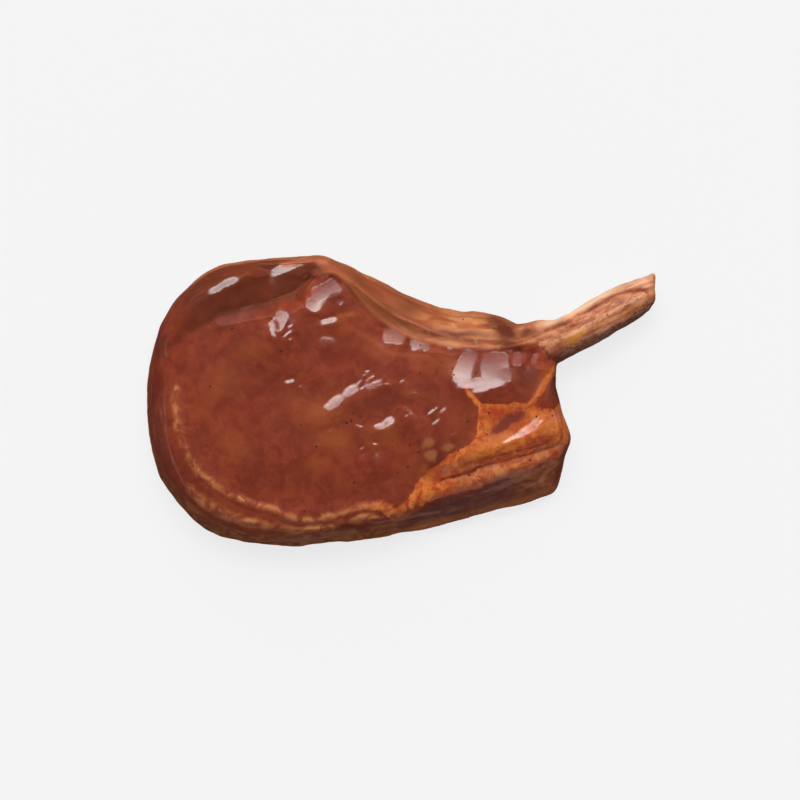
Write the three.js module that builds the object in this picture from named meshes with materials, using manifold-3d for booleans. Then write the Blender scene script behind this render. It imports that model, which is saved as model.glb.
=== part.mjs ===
import * as THREE from "three";
import { mergeVertices } from "three/addons/utils/BufferGeometryUtils.js";
import Module from "manifold-3d";

// A raw pork tomahawk steak in a thick marinade, lying flat. The loin is a thick slab with a flat
// underside. The rib runs under its far edge and leaves it at the right as a short bare handle.
// Millimetres, +X towards the handle, +Y towards the rib side, +Z up, cut side up.

// Driving sizes
const EYE_HALF_LENGTH = 45; // the round chine end of the loin, from its middle to its tip
const EYE_HALF_WIDTH = 51.2;
const EYE_MIDDLE_X = -45;
const CHINE_SQUARENESS = 2.25; // 2 is an ellipse, more is squarer
const FOOT_INSET = 3; // how far the underside stays inside the outline
const FOOT_RISE = 1.3; // height of the rounding under the edge
const EDGE_HEIGHT = 4; // height at which the loin is widest
const FACE_TOP = 23.2; // height of the middle of the cut face
const SHOULDER = 2.7; // how quickly the cut face rises from its rim (1 is a straight slope)
const BONE_GAP = 0.3; // clearance between rib and meat

// The side walls: how far each slopes in, how high its rim is, and how round its shoulder is
// (1 is a straight slope)
const CHINE = { run: 10, rim: 21, bulge: 2.4 };
const SHELF = { run: 16, rim: 17, bulge: 3.3 };
const PEAK = { run: 7, rim: 18.5, bulge: 1.5 };
const RIB = { run: 14, rim: 18.5, bulge: 2 };
const RIB_END = { run: 10, rim: 18.5, bulge: 2 };
const ROOT = { run: 6, rim: 18, bulge: 2 };
const FLAP = { run: 4, rim: 18.5, bulge: 2 };
const NOSE = { run: 3, rim: 17, bulge: 2 };
const CORNER = { run: 7.5, rim: 16.5, bulge: 1.6 };
const FAT_END = { run: 11, rim: 17.5, bulge: 1.4 };
const FAT = { run: 12, rim: 18.5, bulge: 1.4 };
const BOW = { run: 8.5, rim: 20.5, bulge: 1.6 };

// The visible outline of the loin, clockwise from the start of the rib side: x, y, wall
const OUTLINE = [
  [-45.2, 50.4, SHELF],
  [-36.0, 51.2, SHELF],
  [-27.2, 51.7, PEAK],
  [-19.7, 48.4, PEAK],
  [-6.9, 42.4, RIB],
  [5.9, 36.0, RIB],
  [18.6, 32.6, RIB],
  [31.4, 31.0, RIB],
  [40.6, 27.6, RIB_END],
  [49.0, 25.0, RIB_END],
  [54.6, 19.5, ROOT],
  [55.3, 11.5, FLAP],
  [55.0, 5.7, FLAP],
  [56.6, -1.4, FLAP],
  [59.1, -8.2, NOSE],
  [60.6, -13.8, NOSE],
  [58.4, -19.5, NOSE],
  [57.0, -27.3, CORNER],
  [54.8, -32.2, FAT_END],
  [49.5, -34.8, FAT],
  [27.1, -41.0, FAT],
  [10.1, -45.2, FAT],
  [-6.9, -48.4, BOW],
  [-23.9, -50.4, BOW],
  [-41.0, -51.4, CHINE],
];
const CHINE_STATIONS = 7; // stations on the round end

// The rib's middle line from its root in the loin to its sawn end: x, y, z, then half its width
// across the handle and half its height
const RIB_LINE = [
  [34.0, 17.5, 9.0, 5.2, 4.6],
  [45.0, 19.6, 8.6, 6.2, 5.4],
  [55.0, 21.6, 8.2, 7.2, 6.1],
  [64.0, 25.4, 8.0, 7.3, 6.3],
  [72.5, 30.3, 7.9, 7.0, 6.2],
  [80.5, 34.6, 7.6, 6.7, 5.9],
  [86.0, 37.6, 7.3, 6.0, 5.4],
  [89.9, 39.3, 7.1, 5.2, 4.7],
];
const RIB_RIDGE_LEAN = 0.34; // how far the handle's ridge leans to the near side, per mm of height
const RIB_SQUARENESS = 2.5;
const SAWN_FROM = 0.8; // from this share of its length the rib's sections turn to face +X
const SAWN_ROUND = 0.8; // the first and last section against the one beside it

// The membrane that runs from the loin onto the rib: the share of the rib that it covers, and its
// thickness at the root and at its end
const MEMBRANE = { share: 0.41, root: 2.4, end: 0.8 };

// Swells and hollows of the cut face: x, y, half length, half width, turn in degrees, lift
const SWELLS = [
  [-16, -8, 30, 20, 8, 0.9], // crown of the eye muscle
  [-27, 33, 8, 6, 25, 2.2], // knob under the peak
  [-43, 25, 7, 6, 0, 1.8], // knob beside the shelf
  [-6, 17, 9, 6, -35, 1.3], // shoulder of the eye behind the rib
  [9, 13, 7, 5, 0, 0.9],
  [28, 11, 11, 7, 0, 2.2], // end of the small muscle by the rib
  [44, 6, 7, 6, 0, 1.2], // tongue of meat beside the flap
  [16, 2, 5, 8, 0, -0.9], // dip between the eye and the small muscle
  [39, -6, 7, 4, 20, -1.6], // hollow in the fat flap
  [7, -28, 7, 6, 30, -1.2], // hollow beside the fat seam
  [-22, -2, 9, 6, 35, 0.8],
  [-8, -8, 8, 5, 20, 0.7],
  [-34, -20, 10, 8, 0, 0.7],
  [-56, -24, 14, 11, 0, 1.0],
  [-68, 10, 9, 16, 0, 1.0],
  [-40, 4, 12, 7, -20, -0.8],
];

// Long rolls and creases: lift, half width, then the points of its line
const ROLLS = [
  // the rib under its skin, and the crease between it and the eye, round the peak and past the shelf
  { lift: 2.6, reach: 4.6, line: [[-19, 43.5], [-7, 36.5], [6, 29.8], [19, 26.4], [31, 25.6], [43, 22.5]] },
  { lift: -1.6, reach: 2.8, line: [[-84, 14], [-74, 23], [-62, 29], [-46, 32], [-36, 36.5], [-31, 41.5]] },
  { lift: -1.6, reach: 2.8, line: [[-30, 42.5], [-26, 43], [-20, 40], [-8, 28.5], [4, 22], [38, 18.4]] },
  // the roll along the outside of the shelf
  { lift: 2.2, reach: 3.6, line: [[-84, 22], [-73, 36], [-60, 43.5], [-45, 46], [-36, 47], [-30, 47]] },
  // the flap of skin at the root of the handle, and the notch under it
  { lift: 1.6, reach: 2.8, line: [[38, 21.5], [47, 21.5], [55, 18.5]] },
  { lift: -1.8, reach: 2.6, line: [[47, 15.5], [56, 13.5]] },
  // the two folds of the fat edge, and the crease between them
  { lift: 1.8, reach: 3.6, line: [[22, -20], [32, -16.5], [44, -11.5], [55, -9]] },
  { lift: -2.4, reach: 2.8, line: [[15, -27.3], [27, -24], [40.5, -19.5], [57, -15.5]] },
  { lift: 1.5, reach: 3.2, line: [[10, -32.5], [24, -28.5], [37, -24], [56, -19.5]] },
  // the fat rim of the eye
  { lift: 1.3, reach: 3.4, line: [[-80, 2], [-75, -20], [-62, -34], [-47, -39.5], [-32, -41], [4, -36]] },
];

const SPACING = 2.35; // distance between neighbouring points of a ring
const DENSE_COLUMNS = 900; // columns that the rings are picked from
const WALL_RINGS = 7;
const FACE_RINGS = 17;
const RIM_CROWDING = 1.2; // above 1 the rings of the cut face lie closer at its rim
const LAST_RING = 0.97; // how near to the spine the last ring lies
const LEFT_END = EYE_MIDDLE_X - EYE_HALF_LENGTH;
const SPINE_START = [-46, -1]; // left end of the spine that the rings close on
const SPINE_SHARE = 0.62; // its length against the loin's
const SPINE_FALL = -0.075; // how much it falls to the near side, per mm of the loin's length
const RELIEF_FADE = 6; // height over the edge within which the relief comes in
const RIB_SECTIONS = 34;
const RIB_SIDES = 22;

// A closed curve through the stations, and one with the same parameter for the walls.
function loinCurves() {
  const chine = [];
  for (let i = 0; i < CHINE_STATIONS; i++) {
    const angle = Math.PI * (1.5 - (i + 1) / (CHINE_STATIONS + 1));
    const power = 2 / CHINE_SQUARENESS;
    const across = Math.abs(Math.cos(angle)) ** power * Math.sign(Math.cos(angle));
    const up = Math.abs(Math.sin(angle)) ** power * Math.sign(Math.sin(angle));
    chine.push([EYE_MIDDLE_X + EYE_HALF_LENGTH * across, EYE_HALF_WIDTH * up, CHINE]);
  }
  const stations = [...OUTLINE, ...chine];
  const outline = new THREE.CatmullRomCurve3(
    stations.map(([x, y]) => new THREE.Vector3(x, y, 0)),
    true,
    "centripetal",
  );
  const walls = new THREE.CatmullRomCurve3(
    stations.map(([, , wall]) => new THREE.Vector3(wall.run, wall.rim, wall.bulge)),
    true,
    "catmullrom",
    0.4,
  );
  return { outline, walls };
}

// The point of the loin's spine that faces an outline point.
function spinePoint(edge) {
  const along = edge.x - LEFT_END;
  return new THREE.Vector3(SPINE_START[0] + SPINE_SHARE * along, SPINE_START[1] + SPINE_FALL * along, 0);
}

function distanceToLine(x, y, line) {
  let nearest = Infinity;
  for (let i = 1; i < line.length; i++) {
    const [ax, ay] = line[i - 1];
    const [bx, by] = line[i];
    const along = ((x - ax) * (bx - ax) + (y - ay) * (by - ay)) / ((bx - ax) ** 2 + (by - ay) ** 2);
    const t = THREE.MathUtils.clamp(along, 0, 1);
    nearest = Math.min(nearest, Math.hypot(x - ax - t * (bx - ax), y - ay - t * (by - ay)));
  }
  return nearest;
}

// What the swells and rolls add to the height at a place.
function relief(x, y) {
  let lift = 0;
  for (const [cx, cy, long, wide, turn, height] of SWELLS) {
    const a = THREE.MathUtils.degToRad(turn);
    const along = ((x - cx) * Math.cos(a) + (y - cy) * Math.sin(a)) / long;
    const across = (-(x - cx) * Math.sin(a) + (y - cy) * Math.cos(a)) / wide;
    lift += height * Math.exp(-along * along - across * across);
  }
  for (const roll of ROLLS) {
    const d = distanceToLine(x, y, roll.line) / roll.reach;
    lift += roll.lift * Math.exp(-d * d);
  }
  return lift;
}

// Triangles between two rows of points that run the same way, always across the shorter gap.
function zip(lower, upper, indices) {
  let [i, j] = [0, 0];
  while (i + 1 < lower.length || j + 1 < upper.length) {
    const alongLower = i + 1 < lower.length ? lower[i + 1].distanceTo(upper[j]) : Infinity;
    const alongUpper = j + 1 < upper.length ? lower[i].distanceTo(upper[j + 1]) : Infinity;
    if (alongLower < alongUpper) {
      indices.push(lower[i].index, lower[i + 1].index, upper[j].index);
      i += 1;
    } else {
      indices.push(lower[i].index, upper[j + 1].index, upper[j].index);
      j += 1;
    }
  }
}

// A closed mesh from rings that run anticlockwise about the way they are stacked. The first ring
// gets a flat cap, and so does the last, unless it closes on a seam along X.
function meshFromRings(rings, seam = false) {
  const points = rings.flat();
  points.forEach((p, i) => {
    p.index = i;
  });
  const indices = [];
  for (let r = 0; r + 1 < rings.length; r++) {
    zip([...rings[r], rings[r][0]], [...rings[r + 1], rings[r + 1][0]], indices);
  }
  flatCap(rings[0], indices, true);
  if (seam) {
    seamCap(rings.at(-1), indices);
  } else {
    flatCap(rings.at(-1), indices, false);
  }
  const geometry = new THREE.BufferGeometry().setFromPoints(points);
  geometry.setIndex(indices);
  return geometry;
}

// The ring is laid out along its own normal, as 2-D points, to be filled.
function flatCap(ring, indices, facesBack) {
  const centre = new THREE.Vector3();
  ring.forEach((p) => centre.addScaledVector(p, 1 / ring.length));
  const normal = new THREE.Vector3();
  ring.forEach((p, i) => {
    const next = ring[(i + 1) % ring.length];
    normal.add(p.clone().sub(centre).cross(next.clone().sub(centre)));
  });
  normal.normalize();
  const right = ring[0].clone().sub(centre);
  right.addScaledVector(normal, -right.dot(normal)).normalize();
  const up = normal.clone().cross(right);
  const flat = ring.map((p) => {
    const arm = p.clone().sub(centre);
    return new THREE.Vector2(arm.dot(right), arm.dot(up));
  });
  for (const [a, b, c] of THREE.ShapeUtils.triangulateShape(flat, [])) {
    indices.push(ring[a].index, ring[facesBack ? c : b].index, ring[facesBack ? b : c].index);
  }
}

// Zips the near and the far side of a narrow ring together, from its left end to its right end.
function seamCap(ring, indices) {
  const xs = ring.map((p) => p.x);
  const left = xs.indexOf(Math.min(...xs));
  const turned = [...ring.slice(left), ...ring.slice(0, left + 1)];
  const turnedXs = turned.map((p) => p.x);
  const right = turnedXs.indexOf(Math.max(...turnedXs));
  const near = turned.slice(0, right + 1);
  const far = turned.slice(right).reverse();
  zip(near, far, indices);
}

// Points at equal spacing along a closed row of dense points.
function spaced(dense) {
  const closed = [...dense, dense[0]];
  const lengths = [0];
  for (let i = 1; i < closed.length; i++) {
    lengths.push(lengths[i - 1] + closed[i].distanceTo(closed[i - 1]));
  }
  const count = Math.round(lengths.at(-1) / SPACING);
  const ring = [];
  let i = 0;
  for (let k = 0; k < count; k++) {
    const target = (k / count) * lengths.at(-1);
    while (lengths[i + 1] <= target) i += 1;
    const share = (target - lengths[i]) / (lengths[i + 1] - lengths[i]);
    ring.push(closed[i].clone().lerp(closed[i + 1], share));
  }
  return ring;
}

// The loin: rings from the underside, up the wall and over the cut face to the spine.
function loinGeometry() {
  const { outline, walls } = loinCurves();
  const columns = [];
  for (let i = 0; i < DENSE_COLUMNS; i++) {
    const t = outline.getUtoTmapping(1 - i / DENSE_COLUMNS);
    const edge = outline.getPoint(t);
    const wall = walls.getPoint(t);
    const spine = spinePoint(edge);
    const reach = Math.hypot(spine.x - edge.x, spine.y - edge.y);
    columns.push({ edge, spine, reach, run: wall.x, rim: wall.y, bulge: wall.z });
  }
  const place = (column, inset, z) => {
    const p = column.edge.clone().lerp(column.spine, inset / column.reach);
    p.z = z + relief(p.x, p.y) * THREE.MathUtils.smoothstep(z, EDGE_HEIGHT, EDGE_HEIGHT + RELIEF_FADE);
    return p;
  };
  const rings = [
    columns.map((c) => place(c, FOOT_INSET, 0)),
    columns.map((c) => place(c, FOOT_INSET * 0.3, FOOT_RISE)),
    columns.map((c) => place(c, 0, EDGE_HEIGHT)),
  ];
  for (let r = 1; r <= WALL_RINGS; r++) {
    const w = r / WALL_RINGS;
    rings.push(
      columns.map((c) => {
        return place(c, c.run * w, THREE.MathUtils.lerp(c.rim, EDGE_HEIGHT, (1 - w) ** c.bulge));
      }),
    );
  }
  for (let r = 1; r <= FACE_RINGS; r++) {
    const v = (r / FACE_RINGS) ** RIM_CROWDING;
    rings.push(
      columns.map((c) => {
        const inset = THREE.MathUtils.lerp(c.run, c.reach * LAST_RING, v);
        return place(c, inset, THREE.MathUtils.lerp(FACE_TOP, c.rim, (1 - v) ** SHOULDER));
      }),
    );
  }
  return meshFromRings(rings.map(spaced), true);
}

// The rib, swept along its line up to a share of its length. Grown, it is the cutter for its seat
// in the loin, or the membrane over it.
function ribGeometry(grow, share = 1) {
  const curve = (points) => new THREE.CatmullRomCurve3(points, false, "catmullrom", 0.5);
  const line = curve(RIB_LINE.map(([x, y, z]) => new THREE.Vector3(x, y, z)));
  const sizes = curve(RIB_LINE.map(([, , , wide, high]) => new THREE.Vector3(wide, high, 0)));
  const nearSide = new THREE.Vector3(0, -1, 0);
  const last = Math.round(RIB_SECTIONS * share);
  const rings = [];
  for (let s = 0; s <= last; s++) {
    const t = s / RIB_SECTIONS;
    const centre = line.getPoint(t);
    const tangent = line.getTangent(t);
    const across = new THREE.Vector3(tangent.y, -tangent.x, 0).normalize();
    across.lerp(nearSide, THREE.MathUtils.smoothstep(t, SAWN_FROM, 1)).normalize();
    const size = sizes.getPoint(t);
    const round = s === 0 || s === RIB_SECTIONS ? SAWN_ROUND : 1;
    const skin = grow(s / last);
    if (s === 0) centre.addScaledVector(tangent, -skin);
    if (s === RIB_SECTIONS) centre.addScaledVector(tangent, skin);
    rings.push(ribSection(centre, across, (size.x + skin) * round, (size.y + skin) * round));
  }
  return meshFromRings(rings);
}

function ribSection(centre, across, halfWidth, halfHeight) {
  const ring = [];
  const power = 2 / RIB_SQUARENESS;
  for (let i = 0; i < RIB_SIDES; i++) {
    const angle = -(i / RIB_SIDES) * 2 * Math.PI;
    const c = Math.abs(Math.cos(angle)) ** power * Math.sign(Math.cos(angle));
    const u = Math.abs(Math.sin(angle)) ** power * Math.sign(Math.sin(angle));
    const z = u * halfHeight;
    const lean = Math.max(z, 0) * RIB_RIDGE_LEAN * (1 - Math.abs(c));
    const point = centre.clone().addScaledVector(across, c * halfWidth + lean);
    point.z += z;
    ring.push(point);
  }
  return ring;
}

const wasm = await Module();
wasm.setup();

function solid(geometry) {
  const merged = mergeVertices(geometry, 1e-4);
  return new wasm.Manifold(
    new wasm.Mesh({
      numProp: 3,
      vertProperties: new Float32Array(merged.attributes.position.array),
      triVerts: new Uint32Array(merged.index.array),
    }),
  );
}

function geometryOf(manifold) {
  const mesh = manifold.getMesh();
  const geometry = new THREE.BufferGeometry();
  geometry.setAttribute("position", new THREE.BufferAttribute(mesh.vertProperties, 3));
  geometry.setIndex(new THREE.BufferAttribute(mesh.triVerts, 1));
  return geometry;
}

function named(name, geometry, material) {
  geometry.computeVertexNormals();
  const mesh = new THREE.Mesh(geometry, material);
  mesh.name = name;
  return mesh;
}

const glazedMeat = new THREE.MeshStandardMaterial({ color: 0x7c3420, roughness: 0.3, metalness: 0 });
const glazedBone = new THREE.MeshStandardMaterial({ color: 0xa85f3c, roughness: 0.45, metalness: 0 });

const membrane = solid(
  ribGeometry((along) => THREE.MathUtils.lerp(MEMBRANE.root, MEMBRANE.end, along), MEMBRANE.share),
);
const seat = solid(ribGeometry(() => BONE_GAP));
const loin = solid(loinGeometry()).add(membrane).subtract(seat);

const steak = new THREE.Group();
steak.name = "tomahawk_steak";
steak.add(named("loin_meat", geometryOf(loin), glazedMeat));
steak.add(named("rib_bone", ribGeometry(() => 0), glazedBone));

// The origin is under the middle of the steak's box.
const box = new THREE.Box3().setFromObject(steak, true);
steak.position.set(-(box.min.x + box.max.x) / 2, -(box.min.y + box.max.y) / 2, -box.min.z);

export default steak;
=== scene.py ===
import itertools
import math

import bmesh
import bpy
import numpy as np
from mathutils import Matrix, Vector
from mathutils.bvhtree import BVHTree


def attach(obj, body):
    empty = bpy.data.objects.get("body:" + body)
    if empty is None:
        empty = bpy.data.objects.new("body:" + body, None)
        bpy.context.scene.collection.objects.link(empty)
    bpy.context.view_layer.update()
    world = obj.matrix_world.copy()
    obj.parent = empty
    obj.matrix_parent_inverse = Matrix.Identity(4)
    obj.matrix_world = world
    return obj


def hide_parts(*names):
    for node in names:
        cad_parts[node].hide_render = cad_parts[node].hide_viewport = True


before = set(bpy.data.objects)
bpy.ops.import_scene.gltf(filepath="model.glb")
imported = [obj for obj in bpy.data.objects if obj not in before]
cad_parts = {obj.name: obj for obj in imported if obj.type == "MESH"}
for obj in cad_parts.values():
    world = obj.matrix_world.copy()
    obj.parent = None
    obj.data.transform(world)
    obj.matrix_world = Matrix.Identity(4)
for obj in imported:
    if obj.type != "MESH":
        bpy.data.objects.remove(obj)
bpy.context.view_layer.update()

# A raw tomahawk steak in a thick glossy marinade, lying on a pale floor and seen from straight above.
# Places and sizes of the meat are in millimetres in the part's frame: +X towards the end of the rib,
# +Y towards the rib side, +Z up. Meshes are scaled to metres once, when stored.
MM = 0.001

LOIN_VOXEL = 0.5  # how fine the skins are
RIB_VOXEL = 0.42

# The photo's framing
PHOTO_WIDTH = 283.8  # what the photo's width spans at the steak's outline
OUTLINE_HEIGHT = 4
LENS = 180
SENSOR = 36

# The rib's middle line, as the rib was built
RIB_LINE = [
    (34, 17.3, 9), (45, 19.4, 8.6), (55, 21.4, 8.2), (64, 25.2, 8),
    (72.5, 30.1, 7.9), (80.5, 34.4, 7.6), (86, 37.4, 7.3), (89.9, 39.1, 7.1),
]
SKIN_END = 64  # X at which the loin's skin has thinned out on the rib
CORE_END = 74  # X up to which the loin's mesh reaches inside the rib
CORE_GROWTH = 0.45  # closes the gap between the loin and the rib in it
ROOT_X = 55.5  # where the membrane is drawn in as the rib leaves the loin, and how far
ROOT_PULL = 1.9
TIP_CORNER = (89.2, 43, 9)  # the far corner of the sawn end, and how far it is drawn out
TIP_PULL = (0.35, 1.5, 0.3)

# Lines on the cut face
CREST = [
    (-62, 28.6), (-53, 30.4), (-45.2, 32.1), (-39.9, 34.2), (-34.5, 36.7), (-31.7, 39.9), (-27.8, 44.1),
    (-24.2, 45), (-20.9, 43.1), (-16.8, 39.2), (-12.9, 34.3), (-8.8, 30.3), (-4.7, 27.1), (-0.8, 24.6),
    (3.3, 22.7), (7.3, 21.4), (13, 20.4), (21.2, 19), (29.7, 18.7), (38.5, 18.8), (46.3, 20.7),
    (53.8, 24.3),
]
OUTER_CREST = [
    (-19.6, 44.1), (-13.6, 38.8), (-7.2, 33.5), (-0.8, 29.2), (5.2, 26.8), (11.2, 23.9), (19.4, 21.8),
    (27.5, 21.1), (35.3, 21.1),
]
EYE_SEAM = [
    (24.3, 4.8), (25.8, 1.2), (28.6, -2), (28.4, -7.3), (26.5, -13.7), (21.5, -17.9), (14.8, -21.8),
    (8.9, -26.8), (7.5, -31.1), (7.3, -34.6), (4.5, -38.5), (-0.1, -41),
]
FLAP_STREAK = [(54.1, 12.2), (52, 8.3), (49.9, 4.8), (48.1, 0.9), (45.6, -1.6)]
FAT_RIM = [
    (-79, 4), (-77.5, -10), (-72, -22.5), (-62, -32), (-52, -36.6), (-45, -38.4), (-38.8, -41.2),
    (-30.6, -42.1), (-24.6, -40.8), (-18.6, -39.6), (-12.5, -37.1), (-6.3, -37.4), (-2.3, -39.9),
    (1.8, -39.6), (5.9, -37.4),
]
SECOND_FOLD = [
    (-74, -31), (-60, -40.5), (-45, -44.1), (-38.8, -45.6), (-32.8, -45.6), (-26.7, -44.9), (-20.7, -42.8),
    (-14.3, -41.3), (-7.9, -41.3),
]
INNER_SEAM = [
    (-21.1, 30.3), (-15.4, 24.3), (-8.3, 20.7), (-3.7, 17.2), (6.3, 15.1), (14.1, 12.2), (19.4, 9.4),
    (24.3, 4.8),
]
FAT_CREASE = [
    (14.8, -27.9), (24.7, -25.4), (28.2, -23.3), (38.9, -20.8), (46, -19), (53.1, -16.5), (60.2, -14),
]
FLAP_EDGE = [(48.5, 21.8), (51.3, 18.2), (54.2, 15.4), (55.5, 17.9)]
FLAP_NOTCH = [(50.2, 17.9), (53, 14.6), (56.5, 14.2)]
HANDLE_RIDGE = [(49.5, 19.6), (56.6, 21.6), (61, 23.4), (66.5, 26), (72.5, 29.4), (77.9, 32.6), (85.5, 37)]
HANDLE_GROOVE = [
    (46.3, 21.6), (54.8, 25.9), (63.7, 29.9), (71.4, 33.9), (76.7, 37), (83.8, 38.3), (86.8, 38),
    (87.7, 35.6),
]
HANDLE_FOOT = [
    (52.4, 17.9), (55.6, 20), (59.5, 20.7), (65.5, 22.9), (69.7, 25), (74.4, 26.8), (79, 29.2),
    (83.9, 32.1), (88.5, 35.4),
]
# Along the shelf's outer edge, the crest mask lays a pale painted highlight.
SHELF_EDGE = [(-41.5, 47.4), (-35, 48.9), (-29.5, 49.3), (-26, 48.8)]
# Painted reflections: pale streaks along the near wall.
PAINTED_REFLECTION_STREAKS = [
    [(-46, -49.2), (-27.5, -49.2)], [(-26.7, -47.4), (-21, -46.9), (-15.7, -46)],
    [(-8.6, -43.2), (0, -41.8), (14, -39.8)],
]

# Areas of the cut face
FAT_AREA = [
    (23.3, 5.8), (25.1, 3), (27.2, 0.2), (29.7, -1.3), (33.6, -1.3), (38.2, -1.1), (42.4, -0.9), (46, -2),
    (49.5, -3), (53.8, -2.7), (56.6, -1.6), (59.5, -4.1), (61.6, -9.8), (62.3, -14), (58, -15.6),
    (49.5, -17.2), (42.4, -19.4), (35.3, -21.3), (28.2, -23.3), (21.9, -25.4), (16.9, -27.5),
    (12.6, -29.3), (10.2, -32), (9.4, -35.2), (7.4, -38.2), (3.4, -40.8), (-0.8, -42), (-4.4, -41.2),
    (-7.2, -38.6), (-3, -38.2), (1.3, -36.2), (4.1, -33.8), (5.5, -31.8), (6.3, -28.9), (8.4, -26.1),
    (11.2, -24), (14.4, -21.8), (18.3, -19), (22.2, -17.2), (25.4, -15.1), (27.2, -11.2), (27.7, -6.9),
    (27.5, -3), (25.4, -0.6), (23.3, 2.3),
]
ROOT_FLAP = [
    (46.8, 22.6), (51.5, 22.2), (55.6, 21.6), (54.6, 17.9), (52.4, 15.4), (49.9, 17.6), (48.1, 20),
]
LOWER_FOLD = [
    (8.4, -32.1), *FAT_CREASE[:6], (57, -15.2), (54.5, -19), (50.2, -21.2), (46, -24.1),
    (38.9, -26.4), (31.8, -28.6), (24.7, -31), (17.6, -33.6), (8.4, -35.4),
]
RIB_BAND = [
    (-36, 54), (-19.6, 52.7), (-11.1, 48.8), (-2.6, 44.2), (5.9, 40.3), (18.7, 36.7), (31.4, 34.3),
    (40, 32.1), (49.5, 29.8), (56.2, 27.4), *reversed(CREST[6:]), (-36, 47),
]
SHELF = [(-22, 54), *reversed(CREST[:8]), (-74, 22.5), (-90, 12), (-90, 54)]

# Fine ridges and grooves of the cut face: lift, half width, line
CREASES = [
    (0.25, 0.6, CREST[6:]),
    (0.25, 0.6, OUTER_CREST),
    (-0.4, 0.6, FAT_CREASE),
    (-0.6, 0.7, HANDLE_GROOVE),
    (0.3, 1.3, FAT_RIM),
    (-0.35, 0.8, [(x, y - 2.2) for x, y in FAT_RIM]),
    (0.4, 0.9, SECOND_FOLD),
    (-0.15, 0.9, EYE_SEAM),
    (-0.12, 1.2, INNER_SEAM),
    (0.35, 0.9, FLAP_STREAK),
    (0.45, 0.6, FLAP_EDGE),
    (-0.9, 0.8, FLAP_NOTCH),
]
HANDLE_CREASES = [(0.45, 1, HANDLE_RIDGE), (-0.7, 0.7, HANDLE_GROOVE), (-0.4, 0.8, HANDLE_FOOT)]

# Facets of the marinade that mirror the light: x, y, half length, half width, turn, slope.
# A slope of 0.26 mirrors its brightest part, and a steeper one a dimmer part. Most have 0.28.
FACETS = [
    (-42.2, 28, 4.1, 2.4, 62, 0.36), (-44.6, 24.6, 3.2, 0.7, 108, 0.3), (-39.4, 23.2, 1.7, 0.6, 35),
    (-38.4, 21.4, 0.7, 0.4, 72), (-38.5, 26.1, 1.2, 0.5, 40, 0.3), (-29.3, 34.4, 3.8, 2.7, 45, 0.33),
    (-26, 38.6, 5.2, 3, 26, 0.46), (-21, 34.2, 0.9, 1.1, 55, 0.36), (-25.6, 20.6, 3, 1.8, 0, 0.16),
    (-25, 27.7, 3, 1.3, 16), (-2.2, 22, 3.8, 2.4, -14, 0.43), (5.8, 19.4, 2.2, 2.2, 20, 0.36),
    (9, 18.8, 1.6, 1.3, 0, 0.43), (17.2, 18.2, 1, 0.8, -50, 0.32), (22.9, 11.4, 3.4, 6.2, -20, 0.355),
    (28.4, 5.8, 8.6, 1.9, 3), (33.2, 11.4, 5.2, 5.4, 4, 0.415), (37, 8.6, 1.8, 2.4, 0, 0.48),
    (28, 3.6, 3.2, 0.8, 8, 0.27), (41, 14.4, 1.6, 2.4, 0, 0.6), (47.4, 14.4, 1.1, 1.7, -8, 0.56),
    (-38.7, 6.6, 1.7, 0.8, 8), (-22.8, -0.8, 4.2, 2, 38, 0.27), (-16.9, 3.5, 3.2, 1.6, 36, 0.26),
    (-14.3, 6, 1.2, 0.5, 40), (-12.6, 9, 1, 0.4, 15), (-11, 7.6, 1.4, 0.5, 50), (-9.6, 6.2, 1.3, 0.4, 35),
    (-7.6, 5, 0.9, 0.4, 20), (-4.6, 5.7, 0.8, 0.4, 0, 0.3), (-9.4, 8.6, 0.8, 0.4, 60),
    (-13, 4, 0.9, 0.4, 30), (-6.8, 7.2, 0.7, 0.3, 40), (-11.8, 10.4, 0.9, 0.5, 20, 0.3),
    (-9, 5.4, 3.2, 1.6, 20, 0.21), (3, -4, 2.8, 0.9, -35, 0.2), (-8, -20.5, 0.8, 2.4, 0, 0.18),
    (-13, -19.8, 0.7, 1.6, 0, 0.18), (-5.5, -8.6, 3.6, 1.5, 26, 0.27), (-3.3, -7, 1.5, 1.2, 20, 0.27),
    (-14.4, -8.9, 1.1, 0.4, -10), (-8.5, -15.3, 1.1, 0.4, -3, 0.3), (-13.5, -17.1, 0.9, 0.4, 33, 0.3),
    (11.4, -3.8, 2.2, 0.6, 33), (15, -3.5, 1.5, 0.8, 50, 0.3), (12.7, -7.3, 1.9, 0.6, 38),
    (39.6, -13.3, 4.4, 0.8, 24), (44.2, -10.9, 2.8, 1.6, 38), (47.4, -8.4, 3.2, 1.6, 46),
    (-39.4, 47, 6.8, 1.9, 25), (-62, 40.4, 6, 1.3, 28, 0.33), (-24.4, -10.4, 0.6, 0.3, 30),
    (-21.4, -4.6, 0.7, 0.3, 20), (5.2, 2.6, 0.7, 0.3, -20), (2.6, -5.6, 0.9, 0.3, 10),
    (5.6, -5.9, 0.8, 0.3, -15), (-13.6, -7.4, 0.6, 0.3, 40), (0.6, 6.6, 0.8, 0.4, 25, 0.3),
    (18.6, -12, 0.7, 0.3, 30), (-34.6, 4.6, 0.6, 0.3, 25),
]
FACETS = [(*facet, 0.28)[:6] for facet in FACETS]
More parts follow.
